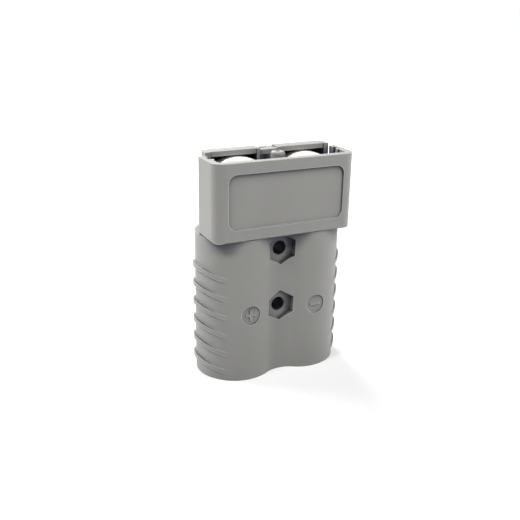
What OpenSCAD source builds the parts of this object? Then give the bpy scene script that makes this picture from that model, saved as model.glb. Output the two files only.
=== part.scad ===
// Genderless two-pole power connector: one moulded housing that mates with its own
// twin turned over, two crimp contacts and the two leaf springs that press them forward.
// X runs across the poles and Z from the wire end to the mouth. Y = 0 is the mating plane,
// which also holds the axes of both barrels. The label side of the hood faces -Y.

/* [Housing] */
// Length from the wire end to the hood's rim
overall_length = 108; // [104:0.5:112]
// Outer radius of the two wire barrels
barrel_r = 19.3; // [19:0.1:19.5]
// Distance between the two poles
pole_spacing = 35; // [34.6:0.1:36]
// Depth of the valley's floor between the barrels, each side of the mating plane
valley_floor = 14.5; // [14.2:0.1:15]
// Diameter of the bore that each cable enters
cable_bore_d = 24; // [22.5:0.5:24]
// Chamfer at the mouth of each cable bore
cable_bore_chamfer = 1.2; // [0.5:0.1:1.8]
// Thickness of the bulkhead that the contacts pass through
bulkhead_t = 9.5; // [8.5:0.5:11]

/* [Hood] */
// Width of the hood
hood_width = 72; // [71:0.1:73]
// Height of the hood above the barrels' shoulder
hood_height = 36.5; // [35:0.5:38]
// Distance from the mating plane to the hood's front face
hood_front = 19.6; // [19.5:0.1:20.5]
// Wall of the hood
hood_wall = 3.2; // [2.8:0.1:3.4]
// Radius of the hood's front corners
hood_corner_r = 5.5; // [3:0.5:5.5]
// Radius where the hood's inner corners meet
hood_inner_r = 2.6; // [1:0.2:2.8]
// Thickness of the hood's floor
hood_floor_t = 1.4; // [1:0.1:2]
// Chamfer under the hood's overhang
hood_chamfer = 0.6; // [0.4:0.1:1]
// How far the key rib stands out from the hood's inner side
key_height = 0.9; // [0.6:0.1:1]
// Thickness of the key rib
key_t = 1.5; // [1:0.1:2]
// Distance from the mating plane to the middle of the key rib
key_offset = 8.3; // [7.5:0.1:9.5]
// Width of the relief groove between the key rib and the mating plane
relief_w = 4.2; // [3:0.1:5]
// Depth of that groove in the hood's wall
relief_depth = 1.3; // [0.8:0.1:1.5]

/* [Label panel] */
// Width of the recessed panel
panel_w = 59; // [54:0.5:60]
// Height of the recessed panel
panel_h = 25.4; // [22:0.2:27]
// Height of the panel's middle above the shoulder
panel_rise = 18.5; // [17.5:0.1:19]
// Depth of the panel
panel_depth = 0.8; // [0.5:0.1:1.4]
// Corner radius of the panel
panel_corner_r = 4; // [2:0.5:6]

/* [Grip ribs] */
// Ribs down each side
rib_count = 6; // [4:1:6]
// Height of the lowest rib's crown above the wire end
rib_first_z = 9; // [8:0.5:12]
// Pitch of the ribs
rib_pitch = 9.5; // [8.5:0.1:9.8]
// Thickness of a rib
rib_t = 2.1; // [1.6:0.1:2.6]
// How far a rib stands out at the side
rib_height = 1.25; // [0.8:0.05:1.5]
// Radius of the arch that each rib follows
rib_arch_r = 39; // [34:1:60]

/* [Mounting holes] */
// Diameter of the two through holes
mount_hole_d = 7; // [6:0.1:7.2]
// Distance between the two holes
mount_spacing = 29; // [28:0.1:30]
// Distance from the shoulder down to the upper hole
mount_drop = 7.9; // [7.6:0.1:9]
// Width across flats of the nut pockets
nut_flats = 13.6; // [12.7:0.1:14.4]
// Distance from the mating plane to the floor of a nut pocket
nut_floor = 12.4; // [11:0.1:13]
// Diameter of the spot face around each hole on the back
spot_face_d = 13; // [11:0.5:14]
// Distance from the mating plane to the floor of a spot face
spot_face_floor = 13.6; // [12:0.1:14]

/* [Polarity marks] */
// How far the marks' middles lie below the lower mounting hole
mark_drop = 0.6; // [-4:0.2:6]
// Diameter of each round mark
mark_d = 9.6; // [8:0.1:11]
// Depth of a mark below the crown of its barrel
mark_depth = 1; // [0.7:0.1:1.3]
// Stroke length of the plus and minus signs
sign_l = 5.4; // [4:0.1:6]
// Stroke width of the signs
sign_w = 1.2; // [0.8:0.1:1.6]
// Height of the signs above the floor of their mark
sign_h = 0.5; // [0.3:0.1:0.6]

/* [Tray] */
// Clearance between this tray and the hood of the other connector
tray_clearance = 0.35; // [0.2:0.05:0.5]
// Distance from the mating plane to the tray's back
tray_depth = 15.5; // [15:0.1:16]
// Radius of the tray's back corners
tray_corner_r = 13; // [12.5:0.1:13]
// Wall round the tray
tray_wall = 2.4; // [2:0.1:2.6]
// Gap between the edge of a tongue and the wall beside the middle channel
tongue_side_gap = 1.2; // [0.8:0.1:1.6]
// How far the tray's front bar stands above the hood's rim
bar_rise = 1.4; // [1:0.1:1.6]
// Height of the front bar, which closes each contact pocket above the tongue
bar_height = 2.4; // [2:0.1:2.8]
// Distance from the mating plane to the back of the front bar
bar_depth = 7; // [6.4:0.1:8]
// How far the bar's face lies behind the front edges of the walls
bar_setback = 0.5; // [0.2:0.1:0.8]
// How far the tray's rear rim lies below the top of the front bar
rear_drop = 2.4; // [2:0.1:3]
// Thickness of the roof that keeps each spring's front end in
roof_t = 1.8; // [1.4:0.1:2.4]
// Height of the bridge across the middle channel
bridge_height = 2.2; // [1.8:0.1:2.6]
// How far the bridge lies below the top of the front bar
bridge_drop = 0.8; // [0.4:0.1:1.2]
// Distance from the mating plane to the back of the bridge
bridge_depth = 4.6; // [3.6:0.1:4.8]
// Wall between a contact pocket and the middle channel
channel_wall = 1.5; // [1.2:0.1:1.8]
// Gap between the tray's front edges and the mating plane
face_gap = 0.15; // [0.1:0.05:0.3]

/* [Guide post] */
// Diameter of the hollow guide post
post_d = 6.6; // [6:0.1:7.4]
// Diameter of the hole down the post
post_hole_d = 2.6; // [2:0.1:3.2]
// Distance from the mating plane to the post's axis
post_offset = 8.5; // [8:0.1:9]
// How far the post stands out of the mouth
post_proud = 1.4; // [1:0.1:1.6]
// Rounding at the post's tip
post_round = 1; // [0.6:0.1:1.4]

/* [Contacts] */
// Outer diameter of the crimp barrel
crimp_d = 19; // [17:0.5:20]
// Diameter of the hole that takes the wire strands
crimp_bore_d = 14.4; // [12:0.2:15]
// Depth of that hole
crimp_bore_l = 26; // [22:1:28]
// Length of the round crimp barrel
crimp_l = 29; // [26:1:30]
// Length of the taper from the barrel to the tongue
crimp_taper_l = 11; // [9:0.5:13]
// Chamfer at the mouth of the crimp barrel
crimp_chamfer = 0.8; // [0.4:0.1:1.2]
// Diameter of the inspection hole in the barrel
inspection_d = 3.2; // [2:0.1:4]
// Distance from the end of the wire hole to the inspection hole
inspection_back = 2.6; // [2.4:0.2:5]
// Width of the tongue
tongue_w = 20; // [18:0.2:20.2]
// Thickness of the tongue
tongue_t = 5; // [4:0.1:5.5]
// How far the tongue's face stands in front of the mating plane
tongue_proud = 2; // [1.5:0.1:2.4]
// Radius of the tongue's rounded end
tongue_end_r = 21; // [14:1:30]
// Gap between the tongue's end and the front bar above it
tongue_gap = 0.4; // [0.3:0.1:0.8]
// Height of the latch nose at the tongue's end
nose_h = 1.3; // [0.8:0.1:1.6]
// Length of that nose along the tongue
nose_l = 7; // [5:0.5:9]
// Depth of the groove behind the nose
groove_depth = 0.8; // [0.5:0.1:1.2]
// Length of the groove behind the nose
groove_l = 6; // [4:0.5:8]

/* [Springs] */
// Width of each leaf spring
spring_w = 15; // [13:0.5:15]
// Thickness of the spring's strip
spring_t = 1; // [0.8:0.1:1.2]
// Radius of the spring's bow
spring_r = 32; // [31:0.5:34]
// Height of the spring's crown above the shoulder
spring_rise = 14.5; // [14:0.1:15]
// How deep the spring's foot sits in the bulkhead
spring_foot = 5; // [4:0.5:6]

/* [Fits] */
// Clearance round the tongue in the bulkhead
tongue_fit = 0.25; // [0.15:0.05:0.4]
// Clearance between a spring and what it bears on
spring_fit = 0.15; // [0.1:0.05:0.25]
// Gap between the crimp barrel's shoulder and the bulkhead
shoulder_fit = 0.2; // [0.1:0.05:0.4]

/* [Hidden] */
$fn = 96;
eps = 0.01;
through = 1;

pole_x = pole_spacing / 2;
shoulder_z = overall_length - hood_height;
bulkhead_z = shoulder_z - bulkhead_t;
panel_z = shoulder_z + panel_rise;
upper_mount_z = shoulder_z - mount_drop;
lower_mount_z = upper_mount_z - mount_spacing;
mark_z = lower_mount_z - mark_drop;

// The valley's arc runs tangent into both barrels. It is set deeper by blend_overlap, so
// that the arc crosses each barrel instead of only touching it.
blend_overlap = 0.02;
valley_r = (pow(pole_x, 2) + pow(valley_floor, 2) - pow(barrel_r, 2)) / (2 * (barrel_r - valley_floor));
valley_y = valley_floor + valley_r;
blend_x = pole_x * valley_r / (barrel_r + valley_r);
blend_y = valley_y * barrel_r / (barrel_r + valley_r);

hood_inner_x = hood_width / 2 - hood_wall;
hood_inner_y = hood_front - hood_wall;
tray_x = hood_inner_x - tray_clearance;
bar_top_z = overall_length + bar_rise;
bar_z = bar_top_z - bar_height;
rear_rim_z = bar_top_z - rear_drop;
roof_z = rear_rim_z - roof_t;
bridge_z = bar_top_z - bridge_drop;
pocket_x = pole_x - tongue_w / 2 - tongue_side_gap;
channel_x = pocket_x - channel_wall;

// Each rib is a crescent: a slightly smaller circle moved out sideways, so that it
// stands proud at the side and dies into the barrel 60 degrees to the front and back.
rib_circle_r = barrel_r - rib_height;
rib_shift = 2 * rib_height;

tongue_z = bar_z - tongue_gap;
tongue_front_y = -tongue_proud;
tongue_back_y = tongue_t - tongue_proud;
tongue_pressed_y = tongue_back_y + tongue_proud + tongue_fit;
crimp_top_z = bulkhead_z - shoulder_fit;
taper_z = crimp_top_z - crimp_taper_l;
crimp_z = taper_z - crimp_l;

// Radii of the arcs that have the stated chords and heights
nose_r = (pow(nose_l / 2, 2) + pow(nose_h, 2)) / (2 * nose_h);
groove_r = (pow(groove_l / 2, 2) + pow(groove_depth, 2)) / (2 * groove_depth);

spring_front_y = tongue_back_y + spring_fit;
spring_centre_y = spring_front_y + spring_r;
spring_centre_z = shoulder_z + spring_rise;
spring_top_z = roof_z - spring_fit;
spring_foot_z = shoulder_z - spring_foot;

// Distance from the mating plane to the spring's front face at height z
function spring_y(z) = spring_centre_y - sqrt(pow(spring_r, 2) - pow(z - spring_centre_z, 2));

module each_pole() {
    for (side = [-1, 1]) translate([side * pole_x, 0, 0]) children();
}

// A block centred on X that runs from y0 to y1 and z0 to z1
module block(width, y0, y1, z0, z1) {
    translate([-width / 2, y0, z0]) cube([width, y1 - y0, z1 - z0]);
}

// A slab in the XZ plane with rounded corners, centred on X and Z, its thickness along +Y
module rounded_slab(w, h, t, r) {
    translate([-w / 2, 0, r - h / 2]) cube([w, t, h - 2 * r]);
    translate([r - w / 2, 0, -h / 2]) cube([w - 2 * r, t, h]);
    for (x = [r - w / 2, w / 2 - r], z = [r - h / 2, h / 2 - r])
        translate([x, 0, z]) rotate([-90, 0, 0]) cylinder(r = r, h = t);
}

// A block with its two front vertical corners rounded, front face at -front, back at +back
module round_front_block(w, front, back, z0, z1, r) {
    block(w, r - front, back, z0, z1);
    block(w - 2 * r, -front, back, z0, z1);
    for (side = [-1, 1])
        translate([side * (w / 2 - r), r - front, z0]) cylinder(r = r, h = z1 - z0);
}

// ---- housing ----

module barrels() {
    each_pole() cylinder(r = barrel_r, h = shoulder_z);
    difference() {
        block(2 * blend_x, -blend_y, blend_y, 0, shoulder_z);
        for (side = [-1, 1]) translate([0, side * (valley_y - blend_overlap), -through])
            cylinder(r = valley_r, h = shoulder_z + 2 * through);
    }
}

// One arched rib: a curved band across the side, kept to its crescent of the barrel
module grip_rib(crown_z) {
    intersection() {
        translate([rib_shift, 0, 0]) cylinder(r = rib_circle_r, h = shoulder_z);
        translate([0, 0, crown_z - rib_arch_r]) rotate([0, 90, 0]) difference() {
            cylinder(r = rib_arch_r, h = 2 * barrel_r);
            translate([0, 0, -through])
                cylinder(r = rib_arch_r - rib_t, h = 2 * (barrel_r + through));
        }
        translate([0, -barrel_r, crown_z - rib_pitch]) cube([2 * barrel_r, 2 * barrel_r, rib_pitch]);
    }
}

module grip_ribs() {
    for (side = [0, 1], i = [0 : rib_count - 1])
        mirror([side, 0, 0]) translate([pole_x, 0, 0]) grip_rib(rib_first_z + i * rib_pitch);
}

module hood_shell() {
    difference() {
        round_front_block(hood_width, hood_front, 0, shoulder_z, overall_length, hood_corner_r);
        round_front_block(2 * hood_inner_x, hood_inner_y, through, shoulder_z + hood_floor_t,
                          overall_length + through, hood_inner_r);
        for (side = [-1, 1])
            translate([side * hood_inner_x - relief_depth, key_t / 2 - key_offset,
                       shoulder_z + hood_floor_t])
                cube([2 * relief_depth, relief_w, hood_height]);
    }
    for (side = [-1, 1])
        translate([side * (hood_inner_x - key_height / 2) - (key_height / 2 + eps),
                   -key_offset - key_t / 2, shoulder_z])
            cube([key_height + 2 * eps, key_t, hood_height]);
}

// Wedges that take the sharp edge off the hood's overhang
module overhang_chamfer() {
    edge = hood_chamfer * sqrt(2);
    translate([0, -hood_front, shoulder_z]) rotate([45, 0, 0])
        cube([2 * hood_width, edge, edge], center = true);
    for (side = [-1, 1]) translate([side * hood_width / 2, 0, shoulder_z]) rotate([0, 45, 0])
        cube([edge, 4 * hood_front, edge], center = true);
}

// The tray's outline, drawn in by the given inset, with its two back corners rounded
module tray_form(inset, front, z0, z1) {
    intersection() {
        block(2 * tray_x, front, tray_depth, z0, z1);
        mirror([0, 1, 0])
            round_front_block(2 * (tray_x - inset), tray_depth - inset, tray_corner_r,
                              z0 - through, z1 + through, tray_corner_r - inset);
    }
}

// Room for each tongue and its spring: full depth under the roof, and under the front bar
// as deep as a tongue reaches when its twin presses it back
module contact_pockets() {
    difference() {
        union() {
            tray_form(tray_wall, -through, shoulder_z, roof_z);
            intersection() {
                tray_form(tray_wall, -through, shoulder_z, bar_z);
                block(2 * tray_x, -2 * through, tongue_pressed_y, shoulder_z, overall_length);
            }
        }
        block(2 * pocket_x, -2 * through, tray_depth, shoulder_z - through, overall_length);
    }
}

module tray() {
    difference() {
        union() {
            tray_form(0, face_gap, shoulder_z - eps, rear_rim_z);
            intersection() {
                tray_form(0, face_gap, rear_rim_z - eps, bar_top_z);
                block(2 * tray_x, 0, bar_depth, shoulder_z, bar_top_z);
            }
        }
        contact_pockets();
        for (side = [-1, 1]) translate([side * (pocket_x + tray_x - tray_wall) / 2, 0, 0])
            block(tray_x - tray_wall - pocket_x, -through, face_gap + bar_setback,
                  shoulder_z + through, bar_top_z + through);
        block(2 * channel_x, -through, tray_depth - tray_wall, shoulder_z, bar_top_z + through);
    }
    block(2 * channel_x + 2 * eps, face_gap + bar_setback, bridge_depth,
          bridge_z - bridge_height, bridge_z);
}

module guide_post() {
    post_h = hood_height + post_proud;
    straight = post_h - post_round;
    translate([0, -post_offset, shoulder_z - eps]) {
        difference() {
            cylinder(d = post_d, h = straight + eps);
            translate([0, 0, through]) cylinder(d = post_hole_d, h = post_h);
        }
        translate([0, 0, straight]) rotate_extrude() {
            translate([post_hole_d / 2, 0]) square([(post_d - post_hole_d) / 2 - post_round, post_round]);
            intersection() {
                translate([post_d / 2 - post_round, 0]) circle(r = post_round);
                translate([post_hole_d / 2, 0]) square([post_d, post_round]);
            }
        }
    }
}

module cable_bore() {
    translate([0, 0, -through]) cylinder(d = cable_bore_d, h = bulkhead_z + through);
    cylinder(d1 = cable_bore_d + 2 * cable_bore_chamfer, d2 = cable_bore_d, h = cable_bore_chamfer);
}

module bulkhead_windows() {
    block(tongue_w + 2 * tongue_fit, tongue_front_y - tongue_fit, tongue_back_y + nose_h + tongue_fit,
          bulkhead_z - through, shoulder_z + hood_floor_t + through);
    block(spring_w + 2 * tongue_fit, spring_y(shoulder_z) - spring_fit,
          spring_y(spring_foot_z) + spring_t + 2 * spring_fit,
          spring_foot_z - spring_fit, shoulder_z + through);
}

module mount_holes() {
    for (z = [lower_mount_z, upper_mount_z]) translate([0, 0, z]) rotate([90, 0, 0]) {
        cylinder(d = mount_hole_d, h = 4 * barrel_r, center = true);
        translate([0, 0, nut_floor]) rotate([0, 0, 30])
            cylinder(d = nut_flats / cos(30), h = barrel_r, $fn = 6);
        translate([0, 0, -barrel_r - spot_face_floor]) cylinder(d = spot_face_d, h = barrel_r);
    }
}

module polarity_recess() {
    translate([0, -barrel_r - through, mark_z]) rotate([-90, 0, 0])
        cylinder(d = mark_d, h = mark_depth + through);
}

module sign_stroke(w, h) {
    translate([0, mark_depth - sign_h / 2 - barrel_r, mark_z])
        cube([w, sign_h + 2 * eps, h], center = true);
}

module polarity_signs() {
    for (side = [-1, 1]) translate([side * pole_x, 0, 0]) sign_stroke(sign_l, sign_w);
    translate([-pole_x, 0, 0]) sign_stroke(sign_w, sign_l);
}

module label_recess() {
    translate([0, -hood_front - through, panel_z])
        rounded_slab(panel_w, panel_h, panel_depth + through, panel_corner_r);
}

module housing() color([0.6, 0.6, 0.59]) {
    difference() {
        union() {
            barrels();
            grip_ribs();
            difference() {
                hood_shell();
                overhang_chamfer();
            }
            tray();
            guide_post();
        }
        each_pole() {
            cable_bore();
            bulkhead_windows();
            polarity_recess();
        }
        mount_holes();
        label_recess();
    }
    polarity_signs();
}

// ---- contacts ----

// Side profile of the tongue in Y and Z: flat back, latch nose and groove on the front
module tongue_profile() {
    difference() {
        union() {
            translate([tongue_front_y, crimp_top_z - eps])
                square([tongue_t, tongue_z - crimp_top_z + eps]);
            translate([tongue_front_y + eps, tongue_z - nose_l / 2])
                intersection() {
                    translate([nose_r - nose_h, 0]) circle(r = nose_r);
                    translate([-nose_h, -nose_l / 2]) square([nose_h, nose_l]);
                }
        }
        translate([tongue_front_y - groove_r + groove_depth, tongue_z - nose_l - groove_l / 2])
            circle(r = groove_r);
    }
}

// Front view of the tongue: straight sides and an end that is an arc
module tongue_outline() {
    intersection() {
        translate([0, 0, tongue_z - tongue_end_r]) rotate([-90, 0, 0])
            cylinder(r = tongue_end_r, h = 2 * barrel_r, center = true);
        block(tongue_w, -barrel_r, barrel_r, tongue_z - tongue_end_r, tongue_z);
    }
    block(tongue_w, -barrel_r, barrel_r, crimp_top_z - through, tongue_z - tongue_end_r + eps);
}

// The tube flattens into the tongue between two slanting faces
module crimp_taper() {
    half = crimp_d / 2;
    intersection() {
        translate([0, 0, taper_z - eps]) cylinder(d = crimp_d, h = crimp_taper_l + eps);
        rotate([90, 0, 90]) translate([0, 0, -half]) linear_extrude(height = crimp_d)
            polygon([[-half, taper_z - eps], [half, taper_z - eps],
                     [tongue_back_y, crimp_top_z], [tongue_front_y, crimp_top_z]]);
    }
}

module contact() color([0.82, 0.82, 0.8]) {
    difference() {
        union() {
            translate([0, 0, crimp_z + crimp_chamfer]) cylinder(d = crimp_d, h = crimp_l - crimp_chamfer);
            translate([0, 0, crimp_z])
                cylinder(d1 = crimp_d - 2 * crimp_chamfer, d2 = crimp_d, h = crimp_chamfer);
            crimp_taper();
            intersection() {
                rotate([90, 0, 90]) translate([0, 0, -tongue_w / 2]) linear_extrude(height = tongue_w)
                    tongue_profile();
                tongue_outline();
            }
        }
        translate([0, 0, crimp_z - through]) cylinder(d = crimp_bore_d, h = crimp_bore_l + through);
        translate([0, 0, crimp_z + crimp_bore_l - inspection_back]) rotate([90, 0, 0])
            cylinder(d = inspection_d, h = crimp_d);
    }
}

module positive_contact() { translate([-pole_x, 0, 0]) contact(); }
module negative_contact() { translate([pole_x, 0, 0]) contact(); }

// ---- springs ----

// A strip bent to one arc, its crown on the tongue and its ends under the lip and in the bulkhead
module leaf_spring() color([0.72, 0.73, 0.75]) {
    intersection() {
        translate([0, spring_centre_y, spring_centre_z]) rotate([0, 90, 0]) difference() {
            cylinder(r = spring_r, h = spring_w, center = true);
            cylinder(r = spring_r - spring_t, h = spring_w + 2 * through, center = true);
        }
        block(spring_w, 0, spring_centre_y, spring_foot_z, spring_top_z);
    }
}

module positive_spring() { translate([-pole_x, 0, 0]) leaf_spring(); }
module negative_spring() { translate([pole_x, 0, 0]) leaf_spring(); }

housing();
positive_contact();
negative_contact();
positive_spring();
negative_spring();
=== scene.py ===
# %% [markdown]
# # A genderless power connector
# The connector is one grey moulded housing. It holds two silver-plated contacts and two steel
# leaf springs, and it mates with its own twin turned over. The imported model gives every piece
# its real shape and place, so this lesson is about surfaces, edges and light.

from math import cos, pi, radians, sin

import bmesh
import bpy
from mathutils import Matrix, Vector


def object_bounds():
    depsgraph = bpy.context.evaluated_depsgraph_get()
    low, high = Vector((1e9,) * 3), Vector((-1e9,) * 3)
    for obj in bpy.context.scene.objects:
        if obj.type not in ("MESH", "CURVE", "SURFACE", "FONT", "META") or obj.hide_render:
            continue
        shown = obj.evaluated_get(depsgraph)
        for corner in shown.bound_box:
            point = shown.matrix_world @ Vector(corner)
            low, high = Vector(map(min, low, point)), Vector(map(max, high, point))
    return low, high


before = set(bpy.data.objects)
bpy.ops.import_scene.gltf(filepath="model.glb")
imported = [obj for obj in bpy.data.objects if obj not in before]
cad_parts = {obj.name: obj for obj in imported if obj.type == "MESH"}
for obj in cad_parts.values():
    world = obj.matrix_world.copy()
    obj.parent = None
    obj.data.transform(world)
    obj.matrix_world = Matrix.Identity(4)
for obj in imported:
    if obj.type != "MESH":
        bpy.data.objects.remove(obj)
cad_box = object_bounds()
low, high = Vector(cad_box[0]), Vector(cad_box[1])
middle = (low + high) / 2
MM = 0.001
print("pieces:", ", ".join(sorted(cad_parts)))
print("box in mm:", [round(v / MM, 1) for v in high - low])

# %% [markdown]
# ## The camera
# The view is from the front left and a little above, which shows the hood, the mouth and the
# ribbed flank together. Four numbers describe it: how far round, how high, how far away and a
# slight roll of the camera. Building the camera's axes from them keeps the view easy to change.

# %% Place the camera
AZIMUTH = radians(26.63)
ELEVATION = radians(20.14)
ROLL = radians(-1.07)
DISTANCE = 0.356
LENS = 50.3

back = Vector((-sin(AZIMUTH) * cos(ELEVATION), -cos(AZIMUTH) * cos(ELEVATION), sin(ELEVATION)))
level = Vector((cos(AZIMUTH), -sin(AZIMUTH), 0))
upright = back.cross(level)
right = level * cos(ROLL) - upright * sin(ROLL)
up = level * sin(ROLL) + upright * cos(ROLL)
target = Vector((-5.1, -2.4, 54.6)) * MM

camera_data = bpy.data.cameras.new("camera")
camera_data.lens = LENS
camera_data.sensor_width = 36
camera_data.clip_start = 0.01
camera = bpy.data.objects.new("camera", camera_data)
bpy.context.scene.collection.objects.link(camera)
axes = Matrix((right, up, back)).transposed().to_4x4()
camera.matrix_world = Matrix.Translation(target + back * DISTANCE) @ axes
bpy.context.scene.camera = camera
print("camera at", [round(v, 3) for v in camera.matrix_world.translation])

# %% [markdown]
# ## Node helpers
# Every finish below is a small tree of shader nodes. One helper makes a node, sets its plain
# values and joins its inputs, so that each finish reads as a short list. The others wrap the
# nodes that come back: noise, a change of range, a bump, a blend of two colours, the normal of
# an edge that is slightly rounded, and how much of the sky a point sees.

# %% Helpers for materials
def new_material(name):
    material = bpy.data.materials.new(name)
    material.use_nodes = True
    tree = material.node_tree
    tree.nodes.clear()
    return material, tree


def add_node(tree, kind, settings=None, inputs=None):
    node = tree.nodes.new(kind)
    for key, value in (settings or {}).items():
        setattr(node, key, value)
    for key, value in (inputs or {}).items():
        if isinstance(value, bpy.types.NodeSocket):
            tree.links.new(value, node.inputs[key])
        else:
            node.inputs[key].default_value = value
    return node


def object_coordinates(tree, scale=(1, 1, 1)):
    place = add_node(tree, "ShaderNodeTexCoord")
    return add_node(tree, "ShaderNodeMapping", {"vector_type": "POINT"},
                    {"Vector": place.outputs["Object"], "Scale": scale}).outputs["Vector"]


def noise(tree, vector, scale, detail=2.0, roughness=0.5):
    return add_node(tree, "ShaderNodeTexNoise", {}, {
        "Vector": vector, "Scale": scale, "Detail": detail, "Roughness": roughness,
    }).outputs["Fac"]


def spread(tree, value, low_value, high_value, from_low=0.3, from_high=0.7):
    return add_node(tree, "ShaderNodeMapRange", {}, {
        "Value": value, "From Min": from_low, "From Max": from_high,
        "To Min": low_value, "To Max": high_value,
    }).outputs["Result"]


def bump(tree, height, distance, normal=None, strength=1.0):
    inputs = {"Height": height, "Distance": distance, "Strength": strength}
    if normal is not None:
        inputs["Normal"] = normal
    return add_node(tree, "ShaderNodeBump", {}, inputs).outputs["Normal"]


def blend_colours(tree, factor, first, second):
    colours = {key: colour if isinstance(colour, bpy.types.NodeSocket) else (*colour, 1)
               for key, colour in ((6, first), (7, second))}
    mix = add_node(tree, "ShaderNodeMix", {"data_type": "RGBA"}, {0: factor, **colours})
    return mix.outputs[2]


def rounded_normal(tree, radius, samples=8):
    return add_node(tree, "ShaderNodeBevel", {"samples": samples},
                    {"Radius": radius}).outputs["Normal"]


def larger(tree, first, second):
    return add_node(tree, "ShaderNodeMath", {"operation": "MAXIMUM"},
                    {0: first, 1: second}).outputs["Value"]


def background_ray(tree):
    ray = add_node(tree, "ShaderNodeLightPath").outputs
    direct = larger(tree, ray["Is Camera Ray"], ray["Is Glossy Ray"])
    return larger(tree, direct, ray["Is Transmission Ray"])


def sky_seen(tree, facing, reach, lean):
    lifted = add_node(tree, "ShaderNodeVectorMath", {"operation": "ADD"},
                      {0: facing, 1: (0, 0, lean)})
    leaning = add_node(tree, "ShaderNodeVectorMath", {"operation": "NORMALIZE"},
                       {0: lifted.outputs["Vector"]})
    return add_node(tree, "ShaderNodeAmbientOcclusion", {"samples": 12}, {
        "Distance": reach, "Normal": leaning.outputs["Vector"]}).outputs["AO"]


def finish_material(tree, inputs):
    shader = add_node(tree, "ShaderNodeBsdfPrincipled", {}, inputs)
    output = add_node(tree, "ShaderNodeOutputMaterial")
    tree.links.new(shader.outputs["BSDF"], output.inputs["Surface"])


print("material helpers ready")

# %% [markdown]
# ## Moulded grey plastic
# The housing comes out of a steel mould as grey thermoplastic. Its skin is satin: a very fine
# even grain from the mould, with a slight waviness where the plastic shrank. Two sizes of noise
# drive the bump, and a third, much larger one shifts the colour by a few percent.
#
# Two more marks are painted into the colour. Where little of the sky is seen, under the hood and
# in the pockets, an occlusion node that leans upward finds those places, and the colour is
# darkened there towards a dark blue-grey: painted shade, on top of the shadow that the lamps
# leave.
# Edges are painted paler, a painted highlight: there the rounded normal of a Bevel node turns
# away from the true one. That test finds inner corners too, so the highlight counts less where
# the sky is hidden.

# %% Make the housing plastic
PLASTIC_DARK, PLASTIC_PALE = (0.292, 0.289, 0.276), (0.322, 0.319, 0.305)
# The first colour here is painted shade for hidden places, and the second is a painted highlight
# for edges.
PAINTED_SHADE, PAINTED_EDGE_HIGHLIGHT = (0.030, 0.034, 0.055), (0.62, 0.615, 0.59)
EDGE_RADIUS, HIGHLIGHT_RADIUS = 0.35 * MM, 0.6 * MM
SHADE_REACH, SHADE_LEAN = 11 * MM, 1.4
SHADE_HIDDEN, SHADE_OPEN = 0.36, 0.74
HIGHLIGHT_HIDDEN, HIGHLIGHT_OPEN = 0.62, 0.80
HIGHLIGHT_STARTS, HIGHLIGHT_FULL = 0.99, 0.93


def housing_plastic():
    material, tree = new_material("grey_moulded_plastic")
    place = object_coordinates(tree)
    grain = noise(tree, place, 2600, 3.0, 0.6)
    ripple = noise(tree, place, 90, 2.0)
    cloud = noise(tree, object_coordinates(tree, (1, 1, 0.4)), 38, 3.0)
    wavy = bump(tree, ripple, 0.05 * MM, rounded_normal(tree, EDGE_RADIUS), 0.5)
    skin = bump(tree, grain, 0.012 * MM, wavy, 0.6)
    facing = add_node(tree, "ShaderNodeNewGeometry").outputs["Normal"]
    sky_share = sky_seen(tree, facing, SHADE_REACH, SHADE_LEAN)
    moulded = blend_colours(tree, spread(tree, cloud, 0, 1), PLASTIC_DARK, PLASTIC_PALE)
    # Painted shade: the colour goes towards a dark blue-grey where the leaning occlusion node
    # sees little sky.
    shaded = blend_colours(tree, spread(tree, sky_share, 0, 1, SHADE_HIDDEN, SHADE_OPEN),
                          PAINTED_SHADE, moulded)
    # Painted highlight: the colour goes paler along edges, where the rounded normal turns from
    # the true one, and less so where the sky is hidden.
    turn = add_node(tree, "ShaderNodeVectorMath", {"operation": "DOT_PRODUCT"}, {
        0: rounded_normal(tree, HIGHLIGHT_RADIUS), 1: facing}).outputs["Value"]
    edge_highlight = add_node(tree, "ShaderNodeMath", {"operation": "MULTIPLY"}, {
        0: spread(tree, turn, 0, 1, HIGHLIGHT_STARTS, HIGHLIGHT_FULL),
        1: spread(tree, sky_share, 0, 1, HIGHLIGHT_HIDDEN, HIGHLIGHT_OPEN)}).outputs["Value"]
    finish_material(tree, {
        "Base Color": blend_colours(tree, edge_highlight, shaded, PAINTED_EDGE_HIGHLIGHT),
        "Roughness": spread(tree, grain, 0.42, 0.56),
        "IOR": 1.5,
        "Normal": skin,
    })
    return material


plastic = housing_plastic()
print("made", plastic.name)

# %% [markdown]
# ## Silver plating
# The contacts are copper with a thick silver plate. The plate is bright but soft, so it shows a
# fine lengthwise drawing grain, and handling leaves it a touch yellow in places.

# %% Make the plated metal
def silver_plate():
    material, tree = new_material("silver_plate")
    drawn = noise(tree, object_coordinates(tree, (1, 1, 0.03)), 3000, 2.0, 0.6)
    blotch = noise(tree, object_coordinates(tree), 160, 3.0, 0.6)
    eased = rounded_normal(tree, 0.3 * MM)
    finish_material(tree, {
        "Base Color": blend_colours(tree, spread(tree, blotch, 0, 1, 0.35, 0.75),
                                    (0.86, 0.85, 0.83), (0.80, 0.77, 0.70)),
        "Metallic": 1.0,
        "Roughness": spread(tree, drawn, 0.30, 0.42),
        "Normal": bump(tree, drawn, 0.006 * MM, eased, 0.5),
    })
    return material


silver = silver_plate()
print("made", silver.name)

# %% [markdown]
# ## Spring steel
# Each spring is cut from rolled stainless strip, and the rolls leave fine lines along it. The
# noise is stretched along the strip's length to draw them. The strip is thin, so its edges are
# rounded less than the contacts' are.

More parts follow.
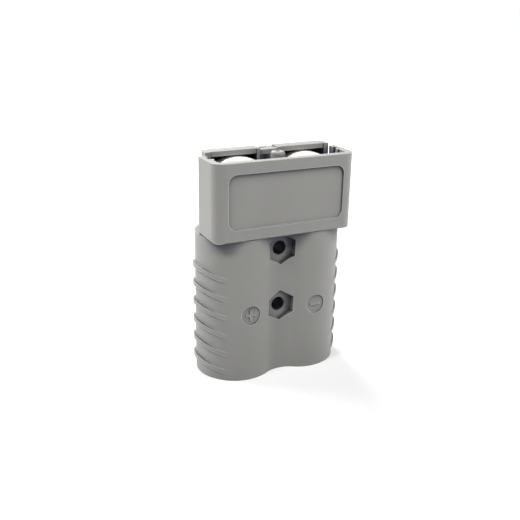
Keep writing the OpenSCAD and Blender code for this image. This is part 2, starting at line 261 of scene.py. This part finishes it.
# %% Make the spring steel
def rolled_steel():
    material, tree = new_material("rolled_stainless")
    rolled = noise(tree, object_coordinates(tree, (1, 0.1, 0.02)), 5200, 2.0, 0.5)
    eased = rounded_normal(tree, 0.15 * MM, 6)
    finish_material(tree, {
        "Base Color": blend_colours(tree, spread(tree, rolled, 0, 1),
                                    (0.50, 0.51, 0.53), (0.60, 0.61, 0.62)),
        "Metallic": 1.0,
        "Roughness": spread(tree, rolled, 0.26, 0.38),
        "Normal": bump(tree, rolled, 0.004 * MM, eased, 0.5),
    })
    return material


steel = rolled_steel()
print("made", steel.name)

# %% [markdown]
# ## Dress the pieces
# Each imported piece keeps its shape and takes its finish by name.

# %% Give each piece its finish
def dress(node, material):
    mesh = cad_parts[node].data
    mesh.materials.clear()
    mesh.materials.append(material)


dress("housing", plastic)
for pole in ("positive", "negative"):
    dress(pole + "_contact", silver)
    dress(pole + "_spring", steel)
for name, piece in sorted(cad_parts.items()):
    print(name, len(piece.data.polygons), "faces")

# %% [markdown]
# ## Floor and lamps
# The connector stands on a pale floor that throws soft light back up at it. The floor glows a
# little for the camera and for mirror-like rays, so it reads as clean white while it still takes
# the shadow. The glow is weaker near the part, where the shadow falls, and full further away.

# %% Build the floor
FLOOR_GREY = 0.56
GLOW_NEAR, GLOW_FAR = 0.5, 1.0
GLOW_START, GLOW_END = 0.08, 0.45
FLOOR_HALF_SIDE = 6.0


def floor_material():
    material, tree = new_material("pale_floor")
    away = add_node(tree, "ShaderNodeVectorMath", {"operation": "LENGTH"}, {
        0: object_coordinates(tree)}).outputs["Value"]
    paper = add_node(tree, "ShaderNodeBsdfDiffuse", {}, {"Color": (FLOOR_GREY,) * 3 + (1,)})
    glow = add_node(tree, "ShaderNodeEmission", {}, {
        "Color": (1, 1, 1, 1),
        "Strength": spread(tree, away, GLOW_NEAR, GLOW_FAR, GLOW_START, GLOW_END)})
    both = add_node(tree, "ShaderNodeAddShader")
    tree.links.new(paper.outputs["BSDF"], both.inputs[0])
    tree.links.new(glow.outputs["Emission"], both.inputs[1])
    mix = add_node(tree, "ShaderNodeMixShader", {}, {0: background_ray(tree)})
    tree.links.new(paper.outputs["BSDF"], mix.inputs[1])
    tree.links.new(both.outputs["Shader"], mix.inputs[2])
    output = add_node(tree, "ShaderNodeOutputMaterial")
    tree.links.new(mix.outputs["Shader"], output.inputs["Surface"])
    return material


floor_mesh = bpy.data.meshes.new("floor")
sheet = bmesh.new()
bmesh.ops.create_grid(sheet, x_segments=1, y_segments=1, size=FLOOR_HALF_SIDE)
bmesh.ops.translate(sheet, verts=sheet.verts, vec=(0, 0, low.z))
sheet.to_mesh(floor_mesh)
sheet.free()
floor_mesh.materials.append(floor_material())
floor = bpy.data.objects.new("floor", floor_mesh)
bpy.context.scene.collection.objects.link(floor)
print("floor at height", round(low.z, 4))

# %% [markdown]
# A lamp's power is easier to choose as the brightness it gives the part: 1 makes a surface that
# faces it render as it is painted. Power has to grow with the square of the distance. The flank
# lamps model the round barrels, and the two lamps above catch the rims. The low one on the right
# helps leave the hood's left corner to shade the barrel under it, and the housing's painted
# shade darkens that place further.
#
# Each lamp below has its place in metres, its brightness and the width of its disk.

# %% Hang the lamps
LAMPS = {
    "key_right": ((0.60, -0.65, 0.22), 0.25, 0.30),
    "side_right": ((0.85, -0.10, 0.08), 0.25, 0.30),
    "above_front": ((0.20, -0.40, 0.85), 0.32, 0.14),
    "above_back": ((0.00, 0.50, 0.75), 1.00, 0.35),
    "side_left": ((-0.58, -0.18, 0.70), 0.42, 0.16),
    "back_left": ((-0.60, 0.50, 0.50), 0.52, 0.30),
}


def soft_lamp(name, place, brightness, size):
    offset = middle - Vector(place)
    data = bpy.data.lights.new(name, "AREA")
    data.shape = "DISK"
    data.size = size
    data.energy = brightness * pi ** 2 * offset.length_squared
    lamp = bpy.data.objects.new(name, data)
    bpy.context.scene.collection.objects.link(lamp)
    lamp.location = place
    lamp.rotation_euler = offset.to_track_quat("-Z", "Y").to_euler()
    return round(data.energy, 1)


for lamp_name, (place, brightness, size) in LAMPS.items():
    print(lamp_name, soft_lamp(lamp_name, place, brightness, size), "W")

# %% [markdown]
# The world hardly lights the part: a faint cool fill keeps the deepest places from going quite
# black. The camera, and anything that mirrors it, sees plain white there instead.

# %% Light the world
FILL_COLOUR, FILL_STRENGTH = (0.92, 0.95, 1, 1), 0.03
WHITE = (1, 1, 1, 1)
world = bpy.data.worlds.new("studio")
world.use_nodes = True
bpy.context.scene.world = world
sky = world.node_tree
sky.nodes.clear()
fill = add_node(sky, "ShaderNodeBackground", {}, {
    "Color": FILL_COLOUR, "Strength": FILL_STRENGTH})
white = add_node(sky, "ShaderNodeBackground", {}, {"Color": WHITE, "Strength": 1.0})
choose = add_node(sky, "ShaderNodeMixShader", {}, {0: background_ray(sky)})
sky.links.new(fill.outputs["Background"], choose.inputs[1])
sky.links.new(white.outputs["Background"], choose.inputs[2])
horizon = add_node(sky, "ShaderNodeOutputWorld")
sky.links.new(choose.outputs["Shader"], horizon.inputs["Surface"])
bpy.context.scene.view_settings.view_transform = "Standard"
print("world lit")
